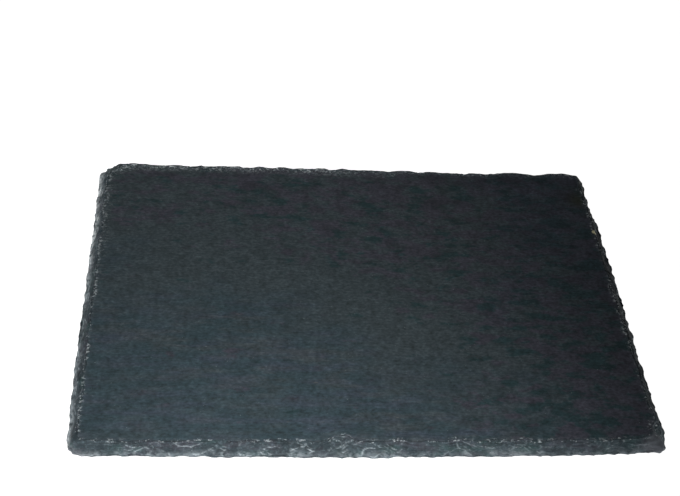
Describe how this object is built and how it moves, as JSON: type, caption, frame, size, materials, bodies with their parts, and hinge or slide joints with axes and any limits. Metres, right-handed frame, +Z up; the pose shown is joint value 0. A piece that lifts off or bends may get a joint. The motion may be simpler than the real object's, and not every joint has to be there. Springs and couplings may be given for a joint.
{
  "type": "slate serving board",
  "caption": "Rectangular slate serving board with hewn, sloping edges and knocked-off corners, raised off the table on self-adhesive foam feet near its corners.",
  "frame": {"origin": "middle of the footprint, on the surface that the feet stand on", "axes": "+X along the board's long side, -Y to the front edge that faces the person served, +Z up out of the serving face"},
  "size_m": [0.3, 0.2, 0.0086],
  "materials": {
    "slate": "riven, lightly oiled",
    "foot_foam": "matte closed-cell foam",
    "adhesive_film": "milky acrylic film"
  },
  "bodies": {
    "root": {"slate_slab": "slate", "foot_pad_front_left": "foot_foam", "foot_pad_front_right": "foot_foam", "foot_pad_rear_left": "foot_foam", "foot_pad_rear_right": "foot_foam", "adhesive_disc_front_left": "adhesive_film", "adhesive_disc_front_right": "adhesive_film", "adhesive_disc_rear_left": "adhesive_film", "adhesive_disc_rear_right": "adhesive_film"}
  },
  "joints": []
}
